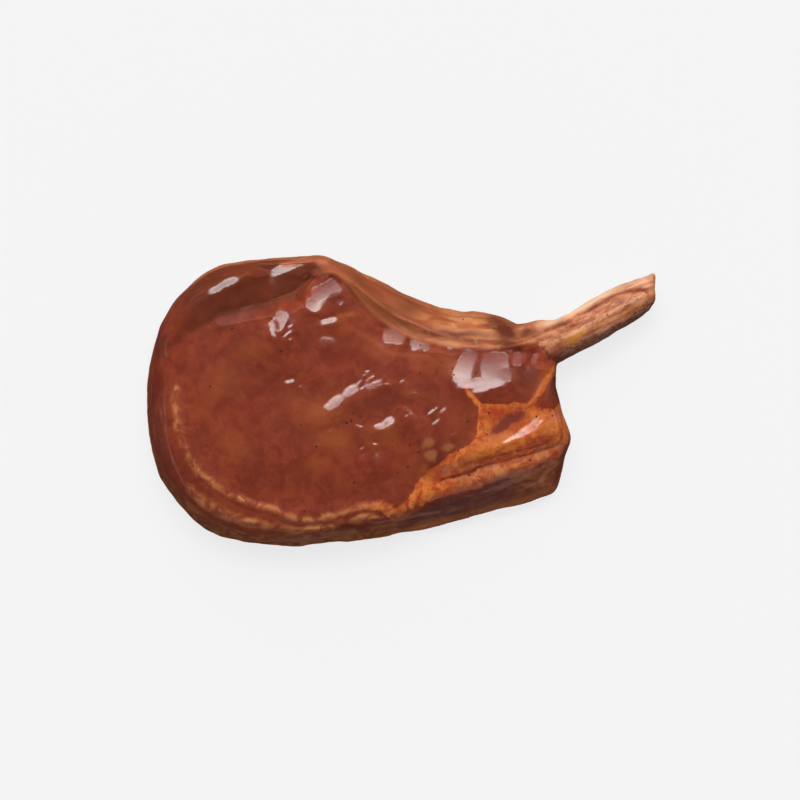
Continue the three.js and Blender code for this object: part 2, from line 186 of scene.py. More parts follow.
# Places in the facets that mirror nothing: x, y, half length, half width, turn
GAPS = [
    (-43.2, 26.2, 1.9, 0.8, 105), (-22.4, 35.4, 2.8, 2.2, 30), (1.8, 20.6, 0.9, 2.4, -20),
    (27.2, 12, 4.5, 1.1, 71), (33.5, 18.4, 7, 1, 0),
]
FACET_ROUNDNESS = 0.025  # how much steeper a facet gets with each millimetre across it
FACET_EDGE = 0.5  # half the width of the strip in which it fades out
DULL_SLOPE = 0.08  # elsewhere the face isn't steeper towards the light than this
FIELD_CELL = 0.5  # the face's lift is solved for on even cells of this size
FIELD_CORNER = (-94, -56)
FIELD_CELLS = (376, 224)
FIELD_ROUNDS = 300  # how often the cells are gone over
FIELD_OVERSHOOT = 1.85  # each goes this far past its neighbours' mean, to settle sooner
FACET_TRUST = 5  # how much more a facet's slope counts than that of the face round it
FACET_REACH = 12  # how far round a facet the face is adapted to it
CREST_REACH = 0.8  # how far round the crest the face stays as it is
STEEPEST_DULLED = 0.7  # a steeper face is an edge and keeps its slope
CREST_STEP = 2.2  # width of the strip inside the crest that takes up the difference in height
SHELF_SLOPE = 0.3  # the shelf falls this steeply towards its outer edge
SHELF_HEIGHT = 16.6  # at the place in the next line
SHELF_PLACE = (-40, 44)
SHELF_LEAN = 0.36  # how steeply its outer edge turns towards +Y, going towards +X
CREST_END = -27  # X at which the sharp crest begins; left of it the face runs on into the shelf

# Stains of the marinade: x, y, half length, half width, turn, strength
STAINS = {}
STAINS["warm"] = [
    (-27, -4, 9, 5, 10, 0.7), (-22.5, -14, 6.5, 3.6, 0, 0.9), (-4, -11.5, 3.4, 3.6, 0, 0.7),
    (-36, 0, 5, 4, 0, 0.4), (-19, 26.5, 3, 3, 0, 0.6), (17.5, 12.5, 4, 4.6, 60, 0.5),
    (20, -8, 3.5, 5, 0, 0.4), (-30, -23, 7, 3, 20, 0.3), (-62, 6, 8, 5, 30, 0.5),
    (-58, -16, 7, 4, -30, 0.5), (-68, -4, 4, 5, 0, 0.4), (-52, 18, 6, 4, 10, 0.4),
    (-10, 17, 6, 2, -25, 0.35), (28, -13, 3, 3, 0, 0.5), (4, 2.5, 5, 1.5, -5, 0.3),
]
STAINS["yellow"] = [
    (31, -9.5, 1.6, 4, 0, 0.9), (36.5, -14.5, 6, 2.6, 20, 1), (27, -18.5, 5.5, 2.4, 25, 0.8),
    (46.5, -6, 2.2, 2, 0, 0.9), (52, -9.5, 4.5, 3, 20, 0.9), (10.5, -28, 1.6, 2.8, -20, 0.9),
    (40, -22.5, 3, 1.4, 20, 0.7), (22, -22, 3, 1.2, 25, 0.7), (8.6, -24, 1.6, 2.4, -30, 0.5),
    (-18.5, 30.2, 2.3, 0.9, 0, 1), (49.9, 4.8, 1.4, 5, -28, 0.8), (59, -9, 1.6, 3.6, 0, 0.6),
    (61.9, 22.4, 4.6, 1.1, 26, 1), (70.5, 25.6, 1.6, 0.6, 28, 0.6), (81, 31.6, 2.4, 0.5, 30, 0.7),
]
STAINS["red"] = [
    (50, 0.5, 3.4, 5.4, 0, 0.5), (33, -3.8, 3.2, 1.7, 0, 0.9), (38.5, -6, 6, 4, 20, 0.8),
    (48, -3, 3.5, 1.5, 10, 0.7), (46, -16.4, 6.5, 1.8, 15, 1), (14.5, -26, 3.6, 1.6, 30, 0.8),
    (17.5, -30, 4, 1.3, 20, 0.5), (3.5, -16, 4, 3, 0, 0.5), (-12, -22, 6, 4, 10, 0.45),
    (-18, 27, 2.2, 2, -20, 0.8), (-33, 36.8, 1.6, 1, 0, 0.8), (17, 16, 1.6, 1.2, 0, 0.7),
    (-26, 12, 7, 4, 30, 0.35), (-55, -4, 7, 4, 0, 0.35),
]
STAINS["olive"] = [
    (9.8, -14.8, 2.4, 2.6, 0, 1), (10.9, -19.2, 2.8, 2.6, 0, 1), (17.5, -16.6, 3.4, 2, 0, 0.8),
    (-11, -25, 1.6, 2.6, -20, 0.4), (-24.5, 20.5, 3, 2.6, 0, 0.35), (-8, -20, 1.6, 2.4, 0, 0.3),
]
STAINS["moss"] = [(37.4, 24, 5.4, 3.5, -45, 1.25), (34, 27.2, 3.8, 2.8, -20, 0.9)]
STAINS["stripe"] = [(21.5, 23.3, 11, 1.2, -2, 1)]
# The deep marks are partly the marinade's own darker colour and partly painted shade in slits and notches,
# such as the slit in the big facet and the notch under the root's flap.
STAINS["deep"] = [
    (50.6, 0.5, 3, 5.4, 0, 0.26), (-9, -1.5, 8, 3.4, 15, 0.6), (40, -6.5, 4.4, 2.4, 30, 0.5),
    (-22.4, 35.4, 2.8, 2.2, 30, 0.9), (3, 32, 4.5, 3, -30, 0.6), (45, 23.6, 3.2, 1.6, 0, 1),
    (82.2, 34.9, 2.6, 1.3, 28, 0.6), (-12, 40, 8, 2, -38, 0.4), (-4, 32, 6, 1.4, -38, 0.5),
    (53.6, 14.6, 2.2, 1.4, -20, 0.8), (-20, -7.8, 1, 0.6, 0, 0.6), (38, 12, 3.5, 4, 0, 0.3),
    (44.4, 6, 3.8, 5.4, 0, 0.6), (27.6, 11, 0.9, 3.2, -25, 0.5), (56.7, 26.5, 2.8, 0.8, 24, 1),
    (77.5, 34.2, 2.6, 0.9, 30, 0.5),
]
STAINS["pink"] = [
    (54.5, -6.4, 3.2, 2.4, 30, 0.9), (33.5, -13.5, 5, 1.6, 20, 0.6), (16, -24.5, 3, 1.4, 30, 0.5),
]
# Lean meat in the fat edge
MUSCLE = [(37, -8, 6, 2.1, 38, 1), (41.4, -5.8, 3.8, 1.5, 25, 0.9), (33, -11.6, 2.4, 1.3, 30, 0.6)]

# The larger dark flakes of spice that the photo shows
SEEN_FLAKES = [
    (31.8, -0.2), (31.1, -4.5), (32.9, -10.8), (30.4, -11.9), (6.6, -18.3), (-12.9, -34.6), (-16.1, -28.9),
    (-4, -3.4), (-16.4, -4.5), (-18.6, -8), (-1.5, -8.7), (53.4, -5.5), (52.7, -14), (34.3, -16.5),
    (47.8, -5.9), (23.6, -7.3), (0.9, 39.2), (33.2, 25.3), (18.3, 11.2), (7.3, 19.3), (7, 9.7),
    (2.7, -23.3), (3.4, -15.8), (-33.5, -38.9), (14.1, -18.6), (20.4, -17.6), (-41.6, 17.2), (45.6, -21.1),
    (24.3, -26.4), (18.7, -27.5), (-29.2, -16.2), (-34.5, -8.7),
]
MORE_FLAKES = 120
FLAKE_SIZE = (0.18, 0.5)  # half its length

# How bright the sky glows behind the rib side, every six degrees from the zenith to the horizon
KEY_GLOW = (0.02, 0.02, 0.03, 0.4, 4.6, 11, 7.2, 4.2, 2.3, 1.2, 1, 1, 1, 1, 1, 1)
# The low light, in metres. It leans this many degrees down from straight above.
LOW_LIGHT_SIZE = (1.8, 0.26)
LOW_LIGHT_LEAN = 79
LOW_LIGHT_DISTANCE = 1.05
LOW_LIGHT_RADIANCE = 2


# Numbers and noise

def ease(x, low, high):
    """0 below low, 1 above high, smooth between."""
    t = np.clip((x - low) / (high - low), 0, 1)
    return t * t * (3 - 2 * t)


def bell(gap, reach):
    """1 where the gap is 0, fading to 0 some way beyond the reach."""
    return np.exp(-((gap / reach) ** 2))


def lattice_noise(points, seed):
    """Smooth noise from -1 to 1, with one cell to each unit."""
    cell = np.floor(points).astype(np.int64)
    part = points - cell
    soft = part * part * (3 - 2 * part)
    total = np.zeros(len(points))
    for corner in itertools.product((0, 1), repeat=3):
        x, y, z = (cell + corner).T
        mixed = (x * 73856093) ^ (y * 19349663) ^ (z * 83492791) ^ (seed * 265443577)
        mixed = (mixed ^ (mixed >> 13)) * 1274126177
        value = ((mixed >> 9) & 0xFFFF) / 32767.5 - 1
        total += value * np.prod(np.where(np.array(corner) == 1, soft, 1 - soft), axis=1)
    return total


def fractal(points, size, octaves, seed):
    """Layers of noise. The first has cells of this size, and each next one is half as large and strong."""
    total = np.zeros(len(points))
    for octave in range(octaves):
        total += lattice_noise(points * 2**octave / size, seed + octave) * 0.5**octave
    return total


def warps(points, size, octaves, seeds):
    """Two layers of noise that move places about, in X and in Y."""
    return np.stack([fractal(points, size, octaves, seed) for seed in seeds], 1)


def curve(points, steps=5):
    """A smooth line through the points."""
    p = np.array(points, float)
    p = np.vstack([2 * p[0] - p[1], p, 2 * p[-1] - p[-2]])
    out = []
    for a, b, c, d in zip(p, p[1:], p[2:], p[3:]):
        for t in np.arange(steps) / steps:
            bend = (2 * a - 5 * b + 4 * c - d) * t**2 + (3 * b - a - 3 * c + d) * t**3
            out.append(0.5 * (2 * b + (c - a) * t + bend))
    out.append(p[-2])
    return np.array(out)


def nearest(points, line):
    """The distance to a line, how far along it the nearest place is, and 1 on its left or -1."""
    gap = np.full(len(points), np.inf)
    along = np.zeros(len(points))
    side = np.ones(len(points))
    done = 0
    for a, b in zip(line, line[1:]):
        d = b - a
        length = np.hypot(*d)
        arm = points - a
        t = np.clip(arm @ d / length**2, 0, 1)
        distance = np.hypot(arm[:, 0] - t * d[0], arm[:, 1] - t * d[1])
        closer = distance < gap
        gap[closer] = distance[closer]
        along[closer] = done + t[closer] * length
        side[closer] = np.sign(d[0] * arm[closer, 1] - d[1] * arm[closer, 0])
        done += length
    return gap, along, side


def trace(flat, line, reach):
    """1 on a line, fading to 0 beside it."""
    return bell(nearest(flat, curve(line))[0], reach)


def depth_inside(points, area):
    """How deep the points lie inside an area. It is below 0 outside."""
    ring = curve([*area, area[0]], 3)
    gap = nearest(points, ring)[0]
    x, y = points.T
    inside = np.zeros(len(points), bool)
    for (ax, ay), (bx, by) in zip(ring, ring[1:]):
        if ay != by:
            inside ^= ((ay > y) != (by > y)) & (x < ax + (y - ay) / (by - ay) * (bx - ax))
    return np.where(inside, gap, -gap)


def turned(flat, x, y, turn):
    """Coordinates from a place, along a direction and across it."""
    a = math.radians(turn)
    dx, dy = flat[:, 0] - x, flat[:, 1] - y
    return dx * math.cos(a) + dy * math.sin(a), dy * math.cos(a) - dx * math.sin(a)


def stains(flat, marks):
    """The strength of each mark inside it and 0 outside, with soft edges."""
    total = np.zeros(len(flat))
    for x, y, length, width, turn, strength in marks:
        u, v = turned(flat, x, y, turn)
        total = np.maximum(total, strength * bell(u, length) * bell(v, width))
    return total


# The face as a field of even cells

def field_cells(flat):
    place = (flat - FIELD_CORNER) / FIELD_CELL
    cell = np.clip(place.astype(int), 0, np.array(FIELD_CELLS) - 2)
    share = np.clip(place - cell, 0, 1)
    for di, dj in itertools.product((0, 1), repeat=2):
        weight = np.abs(1 - di - share[:, 0]) * np.abs(1 - dj - share[:, 1])
        yield cell[:, 0] + di, cell[:, 1] + dj, weight


def field_mean(flat, values, weights):
    """The weighted mean of the values in each cell, and the weight there."""
    total = np.zeros(FIELD_CELLS)
    mass = np.full(FIELD_CELLS, 1e-9)
    for i, j, share in field_cells(flat):
        np.add.at(total, (i, j), share * weights * values)
        np.add.at(mass, (i, j), share * weights)
    return total / mass, mass


def field_at(field, flat):
    return sum(field[i, j] * share for i, j, share in field_cells(flat))


def lift_for_slopes(dx, dy, trust, anchor):
    """The lift with the slopes closest to these where trust is high, and near 0 where anchor is high."""
    wx = 0.5 * (trust[1:] + trust[:-1])
    wy = 0.5 * (trust[:, 1:] + trust[:, :-1])
    flow = np.zeros(FIELD_CELLS)
    fx = 0.5 * (dx[1:] + dx[:-1]) * wx * FIELD_CELL
    fy = 0.5 * (dy[:, 1:] + dy[:, :-1]) * wy * FIELD_CELL
    flow[:-1] += fx
    flow[1:] -= fx
    flow[:, :-1] += fy
    flow[:, 1:] -= fy
    right, left, back, front = wx[1:, 1:-1], wx[:-1, 1:-1], wy[1:-1, 1:], wy[1:-1, :-1]
    pull = right + left + back + front + anchor[1:-1, 1:-1] * FIELD_CELL**2
    lift = np.zeros(FIELD_CELLS)
    core = lift[1:-1, 1:-1]
    chess = np.indices(core.shape).sum(0) % 2 == 0
    for _ in range(FIELD_ROUNDS):
        for half in (chess, ~chess):
            mean = right * lift[2:, 1:-1] + left * lift[:-2, 1:-1]
            mean += back * lift[1:-1, 2:] + front * lift[1:-1, :-2]
            core[half] += FIELD_OVERSHOOT * ((mean - flow[1:-1, 1:-1]) / pull - core)[half]
    return lift


# Meshes

def placed(name, data):
    """A new object in the scene."""
    thing = bpy.data.objects.new(name, data)
    bpy.context.scene.collection.objects.link(thing)
    return thing


class Skin:
    """A mesh being worked on: its points in millimetres, its faces and its edges."""

    def __init__(self, mesh):
        self.points = np.zeros(len(mesh.vertices) * 3)
        mesh.vertices.foreach_get("co", self.points)
        self.points = self.points.reshape(-1, 3) / MM
        self.faces = [list(p.vertices) for p in mesh.polygons]
        self.edges = np.zeros(len(mesh.edges) * 2, np.int64)
        mesh.edges.foreach_get("vertices", self.edges)
        self.edges = self.edges.reshape(-1, 2)
        self.keep_largest_island()
        self.quads = np.array([f if len(f) == 4 else [*f, f[-1]] for f in self.faces])

    def keep_largest_island(self):
        label = np.arange(len(self.points))
        while True:
            lower = label.copy()
            low = label[self.edges].min(1)
            for end in self.edges.T:
                np.minimum.at(lower, end, low)
            lower = lower[lower]
            if (lower == label).all():
                break
            label = lower
        kept = label == np.bincount(label).argmax()
        place = np.cumsum(kept) - 1
        self.faces = [[place[v] for v in f] for f in self.faces if kept[f[0]]]
        self.edges = place[self.edges[kept[self.edges[:, 0]]]]
        self.points = self.points[kept]

    def normals(self):
        a, b, c, d = (self.points[self.quads[:, k]] for k in range(4))
        across = np.cross(c - a, d - b)
        total = np.zeros_like(self.points)
        for corner in self.quads.T:
            for axis in range(3):
                total[:, axis] += np.bincount(corner, across[:, axis], len(total))
        return total / np.maximum(np.linalg.norm(total, axis=1), 1e-12)[:, None]

    def relaxed(self, rounds):
        """The points, each drawn halfway to the mean of its neighbours a number of times."""
        points = self.points.copy()
        a, b = self.edges.T
        count = len(points)
        degree = np.bincount(a, minlength=count) + np.bincount(b, minlength=count)
        for _ in range(rounds):
            for axis in range(3):
                v = points[:, axis]
                mean = (np.bincount(a, v[b], count) + np.bincount(b, v[a], count)) / degree
                points[:, axis] = v + 0.5 * (mean - v)
        return points

    def store(self, name, masks, material):
        mesh = bpy.data.meshes.new(name)
        mesh.from_pydata((self.points * MM).tolist(), [], self.faces)
        for key, values in masks.items():
            mesh.attributes.new(key, "FLOAT", "POINT").data.foreach_set("value", values.astype(np.float32))
        mesh.shade_smooth()
        mesh.materials.append(material)
        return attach(placed(name, mesh), "root")


def made(name, bm):
    """A mesh of what the bmesh holds. The bmesh is freed."""
    mesh = bpy.data.meshes.new(name)
    bm.to_mesh(mesh)
    bm.free()
    return mesh


def welded(node):
    """A CAD node's mesh as a bmesh whose triangles share their corners."""
    bm = bmesh.new()
    bm.from_mesh(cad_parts[node].data)
    bmesh.ops.remove_doubles(bm, verts=bm.verts, dist=0.01 * MM)
    bm.normal_update()
    return bm


def remeshed(parts, voxel):
    """One even mesh round several closed ones."""
    bm = bmesh.new()
    for part in parts:
        mesh = made("part", part)
        bm.from_mesh(mesh)
        bpy.data.meshes.remove(mesh)
    mesh = made("draft", bm)
    draft = placed("draft", mesh)
    remesh = draft.modifiers.new("even", "REMESH")
    remesh.mode = "VOXEL"
    remesh.voxel_size = voxel * MM
    skin = Skin(draft.evaluated_get(bpy.context.evaluated_depsgraph_get()).data)
    bpy.data.objects.remove(draft)
    bpy.data.meshes.remove(mesh)
    return skin


def rest_flat(skin, flat):
    """Puts the underside back on the floor."""
    skin.points[flat, 2] = 0
    skin.points[:, 2] = np.maximum(skin.points[:, 2], 0)


# The handle's own directions

def along_rib(points):
    """For each point: how far along the rib it lies, its angle round it, and the rib's middle there."""
    line = curve(RIB_LINE, 6)
    _, along, _ = nearest(points[:, :2], line[:, :2])
    lengths = np.concatenate([[0], np.cumsum(np.hypot(*np.diff(line[:, :2], axis=0).T))])

    def place(distance):
        return np.stack([np.interp(distance, lengths, values) for values in line.T], 1)

    middle = place(along)
    direction = (place(along + 1) - place(along - 1))[:, :2]
    direction /= np.linalg.norm(direction, axis=1)[:, None]
    arm = points - middle
    near = arm[:, 0] * direction[:, 1] - arm[:, 1] * direction[:, 0]
    return along, np.arctan2(arm[:, 2], near), middle


def rib_masks(skin):
    """What the handle's material reads, on the rib and on the skin over its root."""
    p = skin.points
    x = p[:, 0]
    flat = p[:, :2]
    normal = skin.normals()
    below_surroundings = ((skin.relaxed(14) - p) * normal).sum(1)
    along, angle, _ = along_rib(p)
    wobble = fractal(np.stack([along / 6, angle * 2, angle * 0], 1), 1, 3, 31)
    foot, _, side = nearest(flat, curve(HANDLE_FOOT))
    groove, _, above = nearest(flat, curve(HANDLE_GROOVE))
    # The rib's upper edge is painted pale where it faces the lights: partly the membrane's own paleness,
    # partly painted light.
    edge = ease(above * groove, 0.2, 2.2) * ease(normal[:, 1], 0.1, 0.7)
    return {
        "rib_along": along,
        "rib_angle": angle,
        "rib_low": ease(-side * foot + 0.35 * wobble, 0, 0.6),
        # Painted highlight along the handle's ridge.
        "rib_ridge_highlight": trace(flat, HANDLE_RIDGE, 0.9),
        # Painted shade in the handle's groove and along its foot.
        "rib_groove": bell(groove, 0.6),
        "rib_foot": bell(foot + 0.3 * wobble, 0.5) * ease(x, 54, 57),
        "lit_pale_rib_edge": edge * ease(x, 46, 54) * (1 - 0.5 * ease(x, 68, 78)),
        "yellow": stains(flat, STAINS["yellow"]),
        "deep": stains(flat, STAINS["deep"]),
        "hollow": below_surroundings,
    }


# The loin

def loin_skin():
    loin = welded("loin_meat")
    core = welded("rib_bone")
    for v in core.verts:
        v.co += v.normal * CORE_GROWTH * MM
    points = np.array([v.co for v in core.verts]) / MM
    _, _, middle = along_rib(points)
    for v, p, m in zip(core.verts, points, middle):
        if p[0] > CORE_END:
            v.co = Vector((m + (p - m) * 0.6) * MM)
            v.co.x = CORE_END * MM
    skin = remeshed([loin, core], LOIN_VOXEL)
    flat = skin.points[:, 2] < 0.35
    skin.points = skin.relaxed(14)
    rest_flat(skin, flat)
    return skin, flat


def crease_lift(p, creases, seed):
    """Ridges and grooves along lines. Their height comes and goes along the line."""
    lift = sum(height * trace(p[:, :2], line, reach) for height, reach, line in creases)
    return lift * (0.85 + 0.6 * fractal(p, 6, 2, seed))


def ragged_areas(flat, marks):
    """For each mark: its share at each place, and how far across it the place lies."""
    level = np.column_stack([flat, np.zeros(len(flat))])
    ragged = flat + warps(level, 2.2, 3, (51, 53)) * 0.35
    for x, y, length, width, turn, *_ in marks:
        u, v = turned(ragged, x, y, turn)
        edge = min(0.45, FACET_EDGE / min(length, width))
        radius = ((u / length) ** 4 + (v / width) ** 4) ** 0.25
        yield 1 - ease(radius, 1 - edge, 1 + edge), v


def ragged_share(flat, marks):
    return np.maximum.reduce([share for share, _ in ragged_areas(flat, marks)])


def facet_areas(flat):
    """For each facet: its share at each place, its turn, and its slope there."""
    for (_, _, length, width, turn, steep), (share, across) in zip(FACETS, ragged_areas(flat, FACETS)):
        leans = length > 1.6 * width and abs(turn) < 60
        yield share, math.radians(turn) if leans else 0, steep + FACET_ROUNDNESS * across


def wanted_slopes(spots, slope, face):
    """The face's slopes with the facets that the photo shows, and none that shines elsewhere."""
    want = slope.copy()
    want[face & (want[:, 1] < -DULL_SLOPE), 1] = -DULL_SLOPE
    for share, turn, steep in facet_areas(spots):
        target = np.stack([steep * math.sin(turn), -steep * math.cos(turn)], 1)
        want += (target - want) * share[:, None]
    return want


def cut_facets(skin, up):
    """Turns the facets to the lights and evens out the face between them, in three rounds."""
    flat = skin.points[:, :2].copy()
    spots = np.indices(FIELD_CELLS).reshape(2, -1).T * FIELD_CELL + FIELD_CORNER
    gap, _, side = nearest(spots, curve(CREST))
    left = spots[:, 0] < CREST_END
    inside = (side < 0) | (spots[:, 1] < 18) | left
    inner = np.where(inside, gap, 0) + CREST_REACH * left
    face = (inner > CREST_REACH) & (spots[:, 1] > -34)
    trust = np.where((inner > CREST_REACH) & (inner < CREST_STEP + 1.5 * left), 0.02, 1)
    anchor = np.where(inner > CREST_REACH, FACET_REACH**-2, 0.15)
    for share, _, _ in facet_areas(spots):
        trust += FACET_TRUST * share
    for turn in range(3):
        normal = skin.normals()
        slope = -normal[:, :2] / np.maximum(normal[:, 2:], 0.25)
        means = [field_mean(flat, slope[:, axis], up) for axis in (0, 1)]
        live = means[0][1] > 0.3
        now = np.stack([mean.ravel() for mean, _ in means], 1)
        if turn == 0:
            face &= now[:, 1] > -STEEPEST_DULLED
        change = wanted_slopes(spots, now, face) - now
        dx, dy = (change[:, axis].reshape(FIELD_CELLS) * live for axis in (0, 1))
        lift = lift_for_slopes(dx, dy, trust.reshape(FIELD_CELLS), anchor.reshape(FIELD_CELLS))
        skin.points[:, 2] += field_at(lift * live, flat) * up
    near = field_at(bell(gap, 2).reshape(FIELD_CELLS), flat)
    near = np.maximum(near, 4 * up * (1 - up))[:, None]
    skin.points += (skin.relaxed(5) - skin.points) * near


def square_shelf_edge(p):
    """The shelf runs on evenly almost to the outline, where its edge is sharp."""
    share = ease(p[:, 0], -56, -48) * (1 - ease(p[:, 0], -31, -25))
    share *= ease(p[:, 1], 42, 45)
    x, y = (p[:, :2] - SHELF_PLACE).T
    rise = SHELF_HEIGHT - SHELF_SLOPE * (y - SHELF_LEAN * x) - p[:, 2]
    p[:, 2] += share * rise.clip(0) * (1 - ease(rise, 3.5, 7.5))


def sculpt_loin(skin, flat_foot, rib):
    p = skin.points
    square_shelf_edge(p)
    normal = skin.normals()
    level = np.abs(normal[:, 2])
    up = ease(normal[:, 2], 0.2, 0.7) * ease(p[:, 2], 4, 9)
    side = 1 - ease(level, 0.45, 0.85)
    lump = fractal(p, 9, 2, 3) * (0.16 + 0.25 * side)
    layers = fractal(p * (0.35, 0.35, 1.3), 3.2, 3, 5) * 0.3 * side
    layers *= 1 - 0.7 * ease(p[:, 1], 14, 20)
    calm = ease(p[:, 2], 0.4, 3) * (1 - ragged_share(p[:, :2], FACETS) * up)
    p += normal * ((lump + layers) * calm)[:, None]
    p[:, 2] += crease_lift(p, CREASES, 9) * up
    cut_facets(skin, up)
    draw_in_root(p)
    thin_out_on_rib(skin, rib)
    rest_flat(skin, flat_foot)


def thin_out_on_rib(skin, rib):
    """The loin's skin thins out along the rib until it has no edge, and goes on inside it."""
    p = skin.points
    rib_normals = rib.normals()
    tree = BVHTree.FromPolygons(rib.points.tolist(), rib.faces)
    wobble = 1.6 * fractal(p, 7, 2, 41)
    for k in np.nonzero(p[:, 0] > 53)[0]:
        place, _, face, gap = tree.find_nearest(Vector(p[k]))
        normal = rib_normals[rib.faces[face]].mean(0)
        height = (p[k] - np.array(place)) @ normal
        if gap > 6 or height < -2:
            continue
        x = p[k, 0] + wobble[k]
        thinner = height * (1 - ease(x, 55, SKIN_END))
        thinner -= 0.7 * ease(x, SKIN_END - 1.5, SKIN_END + 2)
        p[k] += normal * (thinner - height)


def fat_masks(p, warp):
    """The fat of the cut face, its rims and its folds."""
    x = p[:, 0]
    warped = p[:, :2] + warp * 0.9
    fold = ease(depth_inside(warped, LOWER_FOLD), -1.6, 1.4) * (1 - 0.35 * ease(x, 46, 58))
    fatty_fold = 1 - ease(x + 2 * warp[:, 0], 14, 26)
    fat = np.maximum(ease(depth_inside(warped, FAT_AREA), -0.5, 0.7), fold * fatty_fold)
    patch = ease(stains(warped, MUSCLE) + 0.2 * fractal(p, 2.5, 3, 61), 0.05, 1)
    rim_seam = trace(warped, FAT_RIM, 1.9) * ease(x, -20, -6)
    seams = np.maximum(trace(warped, FLAP_STREAK, 1.3), rim_seam)
    rims = np.maximum(trace(warped, FAT_RIM, 1), trace(warped, SECOND_FOLD, 1.3))
    # Painted shade along the crease above the lower fold.
    crease = trace(p[:, :2] + warp * 0.25, FAT_CREASE, 0.55)
    masks = {
        "fat": np.maximum(fat * (1 - 0.85 * patch), seams),
        "patch": patch,
        "rims": rims * (0.8 + 0.6 * fractal(p, 6, 1, 71)).clip(0, 1),
        "fold": fold * (1 - fatty_fold),
        "crease": crease * (1 - 0.65 * ease(x, 26, 36)),
    }
    top = ease(p[:, 2], 5, 10)
    return {name: mask * top for name, mask in masks.items()}


def band_masks(p, warp):
    """The crest, the band along the rib, the shelf left of it, and the skin on the rib."""
    x, y, z = p.T
    flat = p[:, :2]
    warped = flat + warp * 0.9
    handle = ease(x, 54, 58.5) * ease(y, 12, 15)
    root = ease(x + warp[:, 0], 42, 50) * ease(warped[:, 1], 21, 23)
    flap = ease(depth_inside(flat + warp * 0.5, ROOT_FLAP), -0.8, 1)
    on_rib = np.maximum.reduce([handle, 0.8 * root, flap])
    right = ease(warped[:, 0], -32, -24)
    band = ease(depth_inside(flat + warp * 0.4, RIB_BAND), -1.5, 0.1) * right
    shelf = ease(depth_inside(warped, SHELF), -0.8, 1.5) * (1 - right)
    gap, along, side = nearest(flat, curve(CREST))
    outside = gap * side
    # The pale lines along the crest are partly the membrane's edge and partly painted highlight. The pale
    # line along the shelf's edge is a painted highlight.
    outer = 0.8 * trace(flat + warp * 0.3, OUTER_CREST, 0.5)
    crest = np.maximum.reduce([bell(outside - 0.2, 0.4), 0.7 * bell(outside - 1.6, 0.35), outer])
    crest *= ease(x, -35, -31) * (0.45 + 0.55 * ease(x, -8, 6))
    crest = np.maximum(crest, 1.3 * trace(flat + warp * 0.3, SHELF_EDGE, 1.1))
    uneven = (0.75 + 0.5 * fractal(p, 4, 2, 13)).clip(0, 1)
    return {
        "on_rib": on_rib,
        "band": band * (1 - on_rib),
        "band_along": along,
        "band_across": gap,
        "crest": crest * ease(z, 5, 10) * (1 - on_rib) * uneven,
        # Painted shade on the steep strip just inside the crest.
        "crest_strip_shade": bell(outside + 1.6, 1) * ease(x, -26, -18) * (1 - on_rib),
        "shelf": shelf * ease(x + 0.5 * y, -72, -52) * (1 - crest),
    }


def wall_masks(p, warp, normal):
    """The walls, what runs along them, and where the marinade is dull."""
    x, _, z = p.T
    flat = p[:, :2]
    near_side = ease(-normal[:, 1], 0.35, 0.7)
    rib_side = ease(normal[:, 1], 0.35, 0.7)
    wall = 1 - ease(z + 0.8 * warp[:, 0] - 2 * ease(x, 20, 42), 14.5, 18.5)
    low_reach = 3 * ease(x, -10, 14) * near_side + 2.2 * rib_side
    side_line = bell(z + 0.7 * warp[:, 1] - 9.6, 0.9) * rib_side
    # Pale streaks of painted reflection along the near wall.
    painted_reflection = [trace(flat + warp * 0.5, line, 0.6) for line in PAINTED_REFLECTION_STREAKS]
    plum = ease(z + 2 * warp[:, 1], 4, 9) * ease(x, -6, 12)
    facets = ease(ragged_share(flat, FACETS), 0.4, 0.85)
    towards_light = normal[:, 1] / np.maximum(normal[:, 2], 0.05)
    unlit = ease(towards_light, 0.07, 0.15) * (1 - facets * (1 - ragged_share(flat, GAPS)))
    return {
        "wall": wall * near_side,
        "low": 1 - ease(z + 0.9 * fractal(p, 2, 3, 91) - low_reach, 4, 7.5),
        "side_line": side_line * ease(x, -16, -4) * (1 - ease(x, 28, 38)),
        "painted_reflection": np.maximum.reduce(painted_reflection) * near_side,
        "plum": plum * (1 - ease(x, 34, 50)),
        "steep": 1 - ease(np.abs(normal[:, 2]), 0.3, 0.75),
        "dull": np.maximum(unlit, 0.85 * ease(-towards_light, 0.25, 0.5)),
    }


def stain_masks(p, warp):
    flat = p[:, :2]
    masks = {name: stains(flat + warp * 0.6, marks) for name, marks in STAINS.items()}
    masks["warm"] = np.maximum(masks["warm"], 0.6 * trace(flat + warp * 0.9, INNER_SEAM, 1))
    masks["olive"] = ease(masks["olive"] + 0.25 * fractal(p, 2.4, 3, 83), 0.3, 0.9)
    masks["pink"] *= (0.7 + 0.6 * fractal(p, 3, 3, 87)).clip(0, 1)
    return masks


def loin_masks(skin):
    p = skin.points
    warp = warps(p, 5, 3, (11, 17))
    return {
        **rib_masks(skin),
        **stain_masks(p, warp),
        **fat_masks(p, warp),
        **band_masks(p, warp),
        **wall_masks(p, warp, skin.normals()),
    }


# The rib

def rib_skin():
    skin = remeshed([welded("rib_bone")], RIB_VOXEL)
    skin.points = skin.relaxed(8)
    return skin


def sculpt_rib(skin):
    p = skin.points
    along, angle, _ = along_rib(p)
    normal = skin.normals()
    p[:, 2] += crease_lift(p, HANDLE_CREASES, 19) * ease(normal[:, 2], 0.1, 0.6)
    around = np.stack([along / 7, np.cos(angle) * 1.6, np.sin(angle) * 1.6], 1)
    strands = np.stack([along / 9, np.cos(angle) * 4.5, np.sin(angle) * 4.5], 1)
    shape = fractal(around, 1, 2, 21) * 0.4 + fractal(strands, 1, 2, 23) * 0.18
    shape += fractal(p, 1.5, 2, 25) * 0.05
    p += normal * shape[:, None]
    draw_in_root(p)
    pinch_tip(p)


